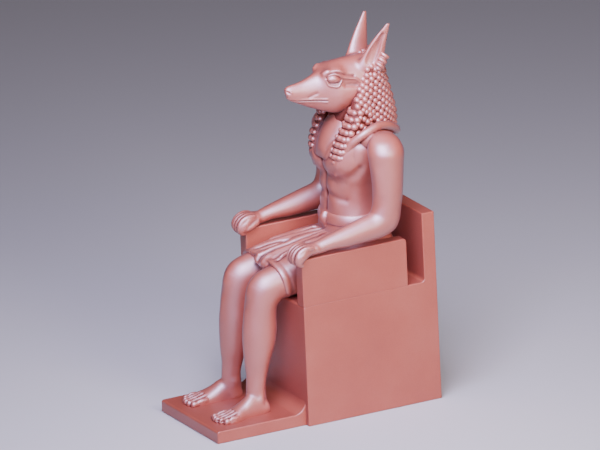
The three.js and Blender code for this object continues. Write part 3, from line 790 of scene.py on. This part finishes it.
# each fold is cut, and each roll of cloth between two of them is raised, over the far thigh or in the middle
far_folds = [
    [(-122, -90, 658), (-118, -40, 672), (-108, 38, 688), (-98, 93, 696), (-80, 140, 702), (-40, 152, 715)],
    [(-113, -110, 656), (-95, -33, 676), (-63, 23, 690), (-56, 69, 698), (-62, 120, 703), (-45, 150, 715)],
    [(-86, -160, 648), (-80, -130, 657), (-66, -75, 670), (-48, -30, 680), (-24, 5, 686), (-12, 43, 694),
     (-12, 93, 701), (-16, 148, 712)],
]
far_rolls = [
    [(-112, -40, 676), (-88, 25, 690), (-78, 80, 698), (-70, 130, 704), (-52, 152, 714)],
    [(-100, -120, 660), (-82, -60, 672), (-56, 10, 690), (-40, 70, 699), (-34, 130, 706), (-22, 150, 716)],
]
middle_folds = [
    [(-12, 148, 716), (-22, 100, 703), (-32, 40, 688), (-38, -60, 674), (-48, -120, 660), (-52, -150, 640),
     (-44, -166, 622)],
    [(20, 146, 716), (38, 96, 702), (50, 40, 692), (58, -60, 676), (70, -124, 662), (76, -150, 640),
     (68, -166, 622)],
    [(6, 146, 716), (14, 80, 700), (10, -20, 690), (2, -90, 680), (-2, -140, 664), (-4, -168, 638)],
    [(34, 146, 714), (58, 80, 700), (72, 20, 690), (86, -60, 680), (98, -130, 664)],
]
middle_rolls = [
    [(-2, 148, 716), (-6, 60, 698), (-14, -40, 690), (-22, -120, 676), (-24, -160, 644)],
    [(14, 146, 716), (28, 90, 702), (32, 60, 698), (32, -40, 692), (34, -120, 678), (36, -160, 644)],
    [(36, 148, 714), (58, 96, 702), (66, -20, 690), (80, -90, 678)],
]
# the dip between the thighs, the raised hem, the rolls, the folds and a groove behind the hem
carve(kilt, [([(0, -30, 662), (0, -150, 640)], 36, -8)])
carve(kilt, both([(hem, 14, 3.5)]))
carve(kilt, [(roll, 13, 7) for roll in far_rolls + middle_rolls])
carve(kilt, [(fold, 6, -10) for fold in far_folds + middle_folds])
carve(kilt, both([([(x, y + HEM_GROOVE, z) for x, y, z in hem], 7, -2)]))
soften(kilt, rounds=2)
thinned(kilt, triangles=190000)
mark_hollows(kilt, rounds=14, strength=0.8)
finished(kilt, stone("kilt_stone"))


# Head
# A jackal's head, one stone with the wig: a long muzzle with outlined almond eyes, a hard brow and a closed
# mouth with rolled lips. The tall ears lean back and out, and each is hollowed on its outer side.

EAR_TURN = 80
HOLLOW_TURN = 62
SIDE_VIEW_X = 90
TEMPLE_REACH = 30
head_rows = [
    (0, -6, 1321, 8, 8, ALONG),
    (0, 0, 1316, 16, 20, ALONG),
    (0, 16, 1310, 22, 32, ALONG),
    (0, 69, 1300, 32, 50, ALONG),
    (0, 122, 1297, 46, 72, ALONG),
    (0, 162, 1298, 60, 89, ALONG, 0, 2.4),
    (0, 202, 1301, 73, 105, ALONG, 0, 2.3),
    (0, 245, 1302, 80, 111, ALONG),
    (0, 300, 1312, 84, 103, ALONG),
    (0, 350, 1325, 80, 90, ALONG),
    (0, 395, 1330, 62, 70, ALONG),
]
ear_rows = [(*row, 0, EAR_TURN) for row in [
    (40, 330, 1340, 76, 34),
    (51, 343, 1374, 63, 31),
    (60, 356, 1406, 52, 26),
    (70, 370, 1440, 43, 20),
    (75, 380, 1466, 36, 16),
    (81, 390, 1490, 29, 13),
    (87, 400, 1512, 22, 10),
    (93, 410, 1532, 15, 7),
    (97, 417, 1547, 10, 5),
    (99, 420, 1554, 7, 3),
]]
ear_hollow_rows = [(*row, 0, HOLLOW_TURN) for row in [
    (88, 332, 1388, 14, 10),
    (93, 341, 1410, 28, 20),
    (98, 359, 1448, 29, 23),
    (104, 380, 1488, 22, 18),
    (108, 397, 1518, 14, 12),
    (110, 408, 1538, 5, 5),
]]
eyeball_rows = [(*row, ALONG) for row in [
    (58, 157, 1357, 6, 3),
    (59, 164, 1356, 12, 10),
    (60, 176, 1356, 17, 16),
    (62, 190, 1354, 17, 15),
    (64, 204, 1350, 11, 9),
    (65, 211, 1348, 5, 3),
]]


def beside(ground, line):
    """Points of the surface by a line that is drawn in the side view, on the figure's left."""
    return [ground.find_nearest(Vector((SIDE_VIEW_X, y, z)) * MM)[0] / MM for y, z in line]


ear_hollow = skin(ear_hollow_rows, around=40, along=40)
ear = joined("ear", [skin(ear_rows, around=60, along=60), ear_hollow], "DIFFERENCE")
skull_meshes = [skin(head_rows, around=90, along=90), ear.data, mirrored(ear.data)]
skull = fused("skull", skull_meshes, voxel=2.5, rounds=4)
bpy.data.objects.remove(ear)
# the brow's bulge, the cheek, the socket of the eye and the dip behind it
carve(skull, both([
    ([(46, 168, 1372), (62, 205, 1378)], 26, 16),
    ([(72, 215, 1270), (78, 250, 1265)], 40, 6),
    ([(62, 170, 1355), (68, 202, 1351)], 17, -6),
    ([(72, 226, 1334), (78, 270, 1324)], 15, -8),
]))
temples = [(x, y, z) for x in (46, -46) for y, z in [(290, 1396), (316, 1404), (360, 1390)]]
melt(skull, [(spot, TEMPLE_REACH) for spot in temples], rounds=60)
face = BVHTree.FromObject(skull, bpy.context.evaluated_depsgraph_get())
upper_lid = beside(face, [(139, 1356), (149, 1371), (165, 1381), (183, 1379), (202, 1367), (222, 1354),
                          (250, 1350), (276, 1341), (296, 1321)])
lower_lid = beside(face, [(138, 1353), (152, 1337), (174, 1328), (196, 1328), (217, 1341)])
brow_fold = beside(face, [(134, 1362), (142, 1379), (160, 1393), (184, 1394), (208, 1384), (236, 1372),
                          (266, 1363)])
lid_hollow = beside(face, [(232, 1333), (252, 1331), (274, 1322), (292, 1306)])
lip_crease = beside(face, [(70, 1285), (84, 1294), (102, 1303)])
ear_crease = beside(face, [(350, 1402), (364, 1436), (380, 1474), (398, 1510)])
mouth = [(4, 2, 1286), (11, 14, 1283), (21, 45, 1277), (33, 80, 1274), (44, 118, 1270), (55, 154, 1267)]
raised = [
    skin(eyeball_rows, around=24, along=24),
    bar(upper_lid, [2, 5, 6, 6, 5.5, 5, 5.5, 5, 2], around=16, along=70),
    bar(lower_lid, [2, 4, 4.5, 4.5, 2.5], around=16, along=50),
]
head = fused("head", [skull.data, *raised, *[mirrored(mesh) for mesh in raised]], voxel=2.1, rounds=2)
bpy.data.objects.remove(skull)
# the fold and roll of the brow, the hollow under the lid, both lips and the mouth between them, the creases
# of the lip and of the ear's root, the brow's inner end, the nostril and its rim
carve(head, both([
    (brow_fold, 4.5, -5),
    ([point + Vector((2, 0, 11)) for point in brow_fold[1:-1]], 8, 3),
    (lid_hollow, 9, -6),
    ([(x, y, z + 6) for x, y, z in mouth], 5, 3),
    ([(x, y, z - 6) for x, y, z in mouth], 5, 3),
    (mouth, 3.2, -5),
    (lip_crease, 7, -3),
    (ear_crease, 10, -6),
    ([(40, 152, 1378), (48, 166, 1388)], 11, 6),
    ([(14, -2, 1322), (18, 4, 1318)], 5, -5),
    ([(10, -6, 1330), (20, 2, 1330), (22, 14, 1318)], 4, 2.5),
]))
soften(head, rounds=1)
thinned(head, triangles=150000)
mark_hollows(head, rounds=10, strength=0.8)
finished(head, stone("head_stone"))


# Wig
# A heavy bell behind the face, with a lappet down each side of the chest, one stone with the head. This is
# its plain ground, cut off along the face and painted dark all over, as shade between the curls that are
# carved over it.

WIG_LEAN = 31.6
FACE_EDGE = (258, 1262)
LAPPET_TURN = 25
CUT_SIZE = 400
bell_rows = [
    (0, 330, 1100, 118, 128),
    (0, 331, 1116, 127, 138),
    (0, 333, 1160, 127, 136),
    (0, 336, 1202, 121, 127),
    (0, 340, 1236, 111, 116),
    (0, 342, 1269, 103, 106),
    (0, 345, 1303, 97, 94),
    (0, 348, 1337, 92, 83),
    (0, 352, 1370, 84, 74),
    (0, 358, 1398, 68, 58),
    (0, 362, 1410, 42, 34),
]
lappet_rows = [
    (98, 172, 1004, 24, 12, 0, LAPPET_TURN, 2.4),
    (97, 170, 1012, 30, 17, 0, LAPPET_TURN, 2.4),
    (97, 169, 1045, 34, 20, 0, LAPPET_TURN, 2.4),
    (102, 180, 1085, 36, 21, 0, LAPPET_TURN, 2.4),
    (106, 202, 1125, 38, 23, 0, LAPPET_TURN, 2.4),
    (103, 243, 1165, 41, 44, 0, LAPPET_TURN, 2.3),
    (96, 274, 1205, 39, 56, 0, LAPPET_TURN, 2.2),
    (86, 298, 1240, 35, 60, 0, LAPPET_TURN),
    (76, 310, 1280, 30, 46, 0, LAPPET_TURN),
    (66, 332, 1315, 24, 40, 0, LAPPET_TURN),
]
lappet_root_rows = [
    (118, 240, 1112, 20, 34),
    (118, 248, 1122, 26, 42),
    (116, 262, 1160, 27, 48),
    (108, 284, 1205, 25, 46),
    (96, 306, 1245, 20, 36),
]
edge_lean = math.radians(WIG_LEAN)
cut_along = (math.sin(edge_lean), math.cos(edge_lean))
cut_away = (-math.cos(edge_lean), math.sin(edge_lean))
cut_corners = [
    [edge + up * along + out * away for edge, along, away in zip(FACE_EDGE, cut_along, cut_away)]
    for up, out in [(-CUT_SIZE, 0), (CUT_SIZE, 0), (CUT_SIZE, CUT_SIZE), (-CUT_SIZE, CUT_SIZE)]]
face_side = prism(cut_corners, -CUT_SIZE, CUT_SIZE, edge_round=1)
bell = joined("bell", [skin(bell_rows, around=80, along=60), face_side], "DIFFERENCE")
lappet = skin(lappet_rows, around=40, along=40)
lappet_root = skin(lappet_root_rows, around=40, along=30)
sides = [bell.data, lappet, mirrored(lappet), lappet_root, mirrored(lappet_root)]
wig = fused("wig", sides, voxel=4, rounds=14)
bpy.data.objects.remove(bell)
thinned(wig, triangles=30000)
# painted shade: the whole ground takes the dark hollow colour, standing for shade between the curls
mark_hollows(wig, rounds=6, strength=0.4, base=1.0)
finished(wig, stone("wig_ground_stone", mottling=0.2, grain=0.3))


# Wig curls
# Bead-like curls of the same stone, half sunk in the wig's ground. They are carved in level rows round the
# bell and down the lappets, the crown has a cap of them, and small ones fill the bare spots that are left.

CURL_LEAN = 42
WIG_BOTTOM = 1112
LOWEST_ROW = 1016
ROWS = 20
LAPPET_ROWS = 9
LAPPET_PITCH = 25.5
BELL_PITCH = 18
CROWN_ROW = 17
CROWN_PITCH = 20.5
CROWN_OFFSET = Vector((4, 0, 0))
# the lappet's middle line: its place at the foot, its bulge to the side and its sweep to the back
LAPPET_X = 97
LAPPET_Y = 176
LAPPET_BULGE = 8
LAPPET_SWEEP = 92
LAPPET_BEND = 1.7
LAPPET_SLOPE = 0.12
# how much lower a curl is for each degree that it lies further round its lappet
LAPPET_DROP = 0.06
# each curl of a lappet's row: its turn round the lappet, its half length, its radius and its waist
lappet_curls = [(-56, 12, 11, 0), (0, 27, 14.5, 0.24), (54, 16, 14.5, 0), (98, 13, 13, 0)]
ROOT_STEP = 22
ROW_SHIFT = 12
LONGEST_ROW = 30
FRONT_CURL = 13.5
BACK_CURL = 11.5
FRONT_COUNT = 7
# shares of a curl's radius: its half length, its depth in the ground and the way to the next one in its row
CURL_LENGTH = 1.1
CURL_SINK = 0.2
CURL_STEP = 1.9
# the least way between two curls as a share of both radii, and the waist's reach as a share of the half length
CURL_GAP = 0.70
WAIST_REACH = 0.32
WIDEST_SPREAD = 1.35
CAP_CURLS = 60
CAP_SPREAD = 7
CAP_TURN = math.radians(137.5)
CAP_MIDDLE = Vector((0, 385, 1400))
FILL_CURL = 10.5
FILL_STEP = 5
FILL_FRONT = 236
FILL_FACING = 0.6
EAR_BACK = 372
HEAD_SIDE = 50
HEAD_TOP = 1388
# where the rays that find the ground start from: beside the bell, round a lappet, before and above the crown
FROM_SIDE = 300
FROM_LAPPET = 120
FROM_FRONT = 800
FROM_ABOVE = 100
ground = BVHTree.FromObject(wig, bpy.context.evaluated_depsgraph_get())
crown = Vector((0, math.sin(math.radians(CURL_LEAN)), math.cos(math.radians(CURL_LEAN))))
crown_front = Vector((0, -crown.z, crown.y))
cut_facing = Vector((0, *cut_away))
corners, faces, painted_curl_shades, strung = [], [], [], []


def ball(round_count, ring_count):
    """Corners and faces of a ball of radius 1."""
    bm = bmesh.new()
    bmesh.ops.create_uvsphere(bm, u_segments=round_count, v_segments=ring_count, radius=1)
    shape = [vert.co.copy() for vert in bm.verts], [[vert.index for vert in face.verts] for face in bm.faces]
    bm.free()
    return shape


def curl(shape, place, facing, along, half_length, radius, waist=0.0, spread=1.0):
    """A curl on the ground at place and its twin on the other side, or one curl on the middle line.
    Its long way is along, and facing points out of the stone."""
    place = place - facing * CURL_SINK * radius
    across = facing.cross(along).normalized()
    along = across.cross(facing).normalized()
    for side in (1, -1) if place.x > 0 else (1,):
        first = len(corners)
        for point in shape[0]:
            narrow = radius * (1 - waist * math.exp(-(point.z / WAIST_REACH) ** 2))
            bulge = (across * spread * point.x + facing * point.y) * narrow
            spot = place + along * point.z * half_length + bulge
            corners.append((spot.x * side * MM, spot.y * MM, spot.z * MM))
            # painted shade: darker the deeper it is sunk, towards the ground
            painted_curl_shades.append(min(max(0.5 - 1.2 * point.y, 0), 1))
        faces.extend([first + i for i in face[::side]] for face in shape[1])
    strung.append((place, radius))


def is_free(place, radius):
    """True where a curl of this radius would not sit in one that is already there."""
    return all((place - other).length > CURL_GAP * (radius + size) for other, size in strung)


def is_outside(place):
    """False where the head and the ears cover the ground."""
    return place.y > EAR_BACK or (place.x > HEAD_SIDE and place.z < HEAD_TOP)


def cast(start, way):
    """Where a ray meets the wig's ground, and which way the ground faces there."""
    place, facing, _, _ = ground.ray_cast(start * MM, way)
    return (None if place is None else place / MM), facing


round_curl = ball(round_count=10, ring_count=6)
long_curl = ball(round_count=14, ring_count=12)
for row in range(ROWS):
    z = LOWEST_ROW + min(row, LAPPET_ROWS) * LAPPET_PITCH + max(row - LAPPET_ROWS, 0) * BELL_PITCH
    step = ROW_SHIFT * (row % 2)
    if row < LAPPET_ROWS:
        # a small curl at the inner edge, a long waisted one in front and two round ones outside
        share = row / (LAPPET_ROWS - 1)
        middle = Vector((
            LAPPET_X + LAPPET_BULGE * math.sin(math.pi * share),
            LAPPET_Y + LAPPET_SWEEP * share ** LAPPET_BEND,
            z,
        ))
        for turn, half_length, radius, waist in lappet_curls:
            a = math.radians(turn + LAPPET_TURN)
            way = Vector((math.sin(a), -math.cos(a), 0))
            place, facing = cast(middle + way * FROM_LAPPET - Vector((0, 0, LAPPET_DROP * turn)), -way)
            if place is not None:
                along = Vector((math.cos(a), math.sin(a), -LAPPET_SLOPE))
                curl(long_curl if waist else round_curl, place, facing, along, half_length, radius, waist)
        step = ROOT_STEP
    elif row < CROWN_ROW:
        # the bell's row starts at the face's edge
        edge_y = FACE_EDGE[0] + SINK + (z - FACE_EDGE[1]) * math.tan(edge_lean)
        place, facing = cast(Vector((FROM_SIDE, edge_y, z)), Vector((-1, 0, 0)))
    else:
        # the crown's row starts at its middle line, above the row before it
        start = crown * (level + CROWN_PITCH) + crown_front * FROM_FRONT + CROWN_OFFSET
        place, facing = cast(start, -crown_front)
    level = place.dot(crown)
    for column in range(LONGEST_ROW):
        way = crown.cross(facing).normalized()
        if step:
            place, facing, _, _ = ground.find_nearest((place + way * step) * MM)
            place = place / MM
            place += crown * (level - place.dot(crown))
        radius = FRONT_CURL + (BACK_CURL - FRONT_CURL) * min(column / FRONT_COUNT, 1)
        if place.x < -0.5 * radius or place.z < WIG_BOTTOM - SINK:
            break
        if place.x < 0.5 * radius:
            place.x = 0
        if is_free(place, radius) and is_outside(place):
            spread = min(1 / math.sqrt(1 - crown.dot(facing) ** 2), WIDEST_SPREAD)
            curl(round_curl, place, facing, way, radius * CURL_LENGTH, radius, spread=spread)
        step = CURL_STEP * radius
for i in range(CAP_CURLS):
    # the cap of the crown, laid in a widening spiral
    reach = CAP_SPREAD * math.sqrt(i)
    start = CAP_MIDDLE + crown * FROM_ABOVE + crown_front * reach * math.cos(i * CAP_TURN)
    start.x = abs(reach * math.sin(i * CAP_TURN))
    place, facing = cast(start, -crown)
    if place is not None and is_free(place, BACK_CURL):
        curl(round_curl, place, facing, crown_front, BACK_CURL * CURL_LENGTH, BACK_CURL)
for vert in list(wig.data.vertices)[::FILL_STEP]:
    # bare spots that are left between the rows
    place, facing = vert.co / MM, vert.normal
    on_side = place.x > FILL_CURL and place.y > FILL_FRONT and place.z > WIG_BOTTOM
    on_cut = facing.dot(cut_facing) >= FILL_FACING
    if on_side and not on_cut and is_outside(place) and is_free(place, FILL_CURL):
        way = crown.cross(facing).normalized()
        curl(round_curl, place, facing, way, FILL_CURL * CURL_LENGTH, FILL_CURL)
curl_mesh = bpy.data.meshes.new("wig_curls")
curl_mesh.from_pydata(corners, [], faces)
curl_mesh.attributes.new("hollow", "FLOAT", "POINT").data.foreach_set("value", painted_curl_shades)
wig_curls = linked("wig_curls", curl_mesh)
finished(wig_curls, stone("wig_curl_stone", grain=0.3))


# Wig ties
# Three small rolls of the same stone behind each ear, one below the other along the wig's slope, on a core
# that joins them to its ground.

TIE_COUNT = 3
TIE_LEAN = 40
TIE_PITCH = 21.7
TOP_TIE = Vector((85, 403, 1419))
CORE_RADIUS = 17
CORE_ENDS = (-4, 64)
# one roll: places along it and its radius there
tie_turn = [(-8, 10), (-7, 20), (-3.5, 23.5), (3.5, 23.5), (7, 20), (8, 10)]
tie_lean = math.radians(TIE_LEAN)


def below_top(reach):
    """The place that is this far below the top roll, along the wig's slope."""
    return TOP_TIE.x, TOP_TIE.y - reach * math.sin(edge_lean), TOP_TIE.z - reach * math.cos(edge_lean)


ties = []
for i in range(TIE_COUNT):
    x, y, z = below_top(i * TIE_PITCH)
    ties.append(skin([
        (x, y + h * math.sin(tie_lean), z + h * math.cos(tie_lean), wide, wide, -TIE_LEAN, 0)
        for h, wide in tie_turn], around=32, along=16))
core = [(*below_top(reach), CORE_RADIUS, CORE_RADIUS, -TIE_LEAN, 0) for reach in CORE_ENDS]
ties.append(skin(core, around=24, along=4))
ties += [mirrored(mesh) for mesh in ties]
wig_ties = fused("wig_ties", ties, voxel=2, rounds=1)
mark_hollows(wig_ties, rounds=6, strength=0.8)
finished(wig_ties, stone("wig_tie_stone", grain=0.3))


# Floor, light and camera
# A plain pale floor under soft studio light: a warm lamp from the figure's left, a cool one from above, a
# weak fill, and a bluish one that shows in the gloss alone. The camera looks from the figure's front left, a
# little from above, and tilts slightly.

FLOOR_HALF = 30
FLOOR_COLOUR = (0.66, 0.64, 0.63)
FLOOR_ROUGHNESS = 0.9
floor_mesh = bmesh.new()
bmesh.ops.create_grid(floor_mesh, x_segments=2, y_segments=2, size=FLOOR_HALF)
floor_data = bpy.data.meshes.new("floor")
floor_mesh.to_mesh(floor_data)
floor_mesh.free()
floor = linked("floor", floor_data)
floor_paint = bpy.data.materials.new("floor_paint")
floor_paint.use_nodes = True
floor_surface = floor_paint.node_tree.nodes["Principled BSDF"]
floor_surface.inputs["Base Color"].default_value = (*FLOOR_COLOUR, 1)
floor_surface.inputs["Roughness"].default_value = FLOOR_ROUGHNESS
floor.data.materials.append(floor_paint)

# where the camera stands, and which pixel of the photograph shows a known point of the statue
AZIMUTH = math.radians(62.8)
ELEVATION = math.radians(18.693)
ROLL = math.radians(2.627)
MM_PER_PIXEL = 4.0
PICTURE_WIDTH = 600
PICTURE_MIDDLE = (300, 225)
ANCHOR_PIXEL = (289.167, 263.508)
ANCHOR = Vector((0, -22, 600)) * MM
DISTANCE = 80
SENSOR_WIDTH = 36
NEAREST = 1
FARTHEST = 400
sideways = Vector((math.cos(AZIMUTH), math.sin(AZIMUTH), 0))
upward = Vector((-math.sin(AZIMUTH) * math.sin(ELEVATION), math.cos(AZIMUTH) * math.sin(ELEVATION),
                 math.cos(ELEVATION)))
right = sideways * math.cos(ROLL) - upward * math.sin(ROLL)
up = sideways * math.sin(ROLL) + upward * math.cos(ROLL)
toward = right.cross(up)
aim = ANCHOR + MM_PER_PIXEL * MM * ((PICTURE_MIDDLE[0] - ANCHOR_PIXEL[0]) * right
                                    - (PICTURE_MIDDLE[1] - ANCHOR_PIXEL[1]) * up)
camera_data = bpy.data.cameras.new("camera")
camera_data.sensor_width = SENSOR_WIDTH
camera_data.lens = camera_data.sensor_width * DISTANCE / (PICTURE_WIDTH * MM_PER_PIXEL * MM)
camera_data.clip_start = NEAREST
camera_data.clip_end = FARTHEST
camera = linked("camera", camera_data)
turned = Matrix((right, up, toward)).transposed().to_4x4()
camera.matrix_world = Matrix.Translation(aim + toward * DISTANCE) @ turned
bpy.context.scene.camera = camera

# what the lamps look at, in metres
STATUE_MIDDLE = Vector((0, 0, 0.8))


def lamp(name, azimuth, elevation, distance, size, power, colour):
    """A square soft lamp that looks at the statue's middle, given in degrees, metres and watts."""
    light = bpy.data.lights.new(name, "AREA")
    light.shape = "SQUARE"
    light.size = size
    light.energy = power
    light.color = colour
    a = math.radians(azimuth)
    e = math.radians(elevation)
    where = Vector((math.sin(a) * math.cos(e), -math.cos(a) * math.cos(e), math.sin(e))) * distance
    holder = linked(name, light)
    holder.location = STATUE_MIDDLE + where
    holder.rotation_euler = where.to_track_quat("Z", "Y").to_euler()
    return holder


lamp("key", 98, 24, 4.6, 1.6, 125, (1.0, 0.90, 0.85))
lamp("top", 62, 62, 3.2, 1.6, 250, (0.68, 0.66, 1.0))
lamp("fill", 62, 34, 4.2, 1.4, 36, (0.92, 0.80, 0.95))
gleam = lamp("gleam", 56, 38, 4.4, 3.2, 700, (0.58, 0.53, 1.0))
gleam.visible_diffuse = False
AIR_COLOUR = (1.0, 0.90, 0.86)
AIR_STRENGTH = 0.09
world = bpy.data.worlds.new("studio")
world.use_nodes = True
world.node_tree.nodes["Background"].inputs["Color"].default_value = (*AIR_COLOUR, 1)
world.node_tree.nodes["Background"].inputs["Strength"].default_value = AIR_STRENGTH
bpy.context.scene.world = world
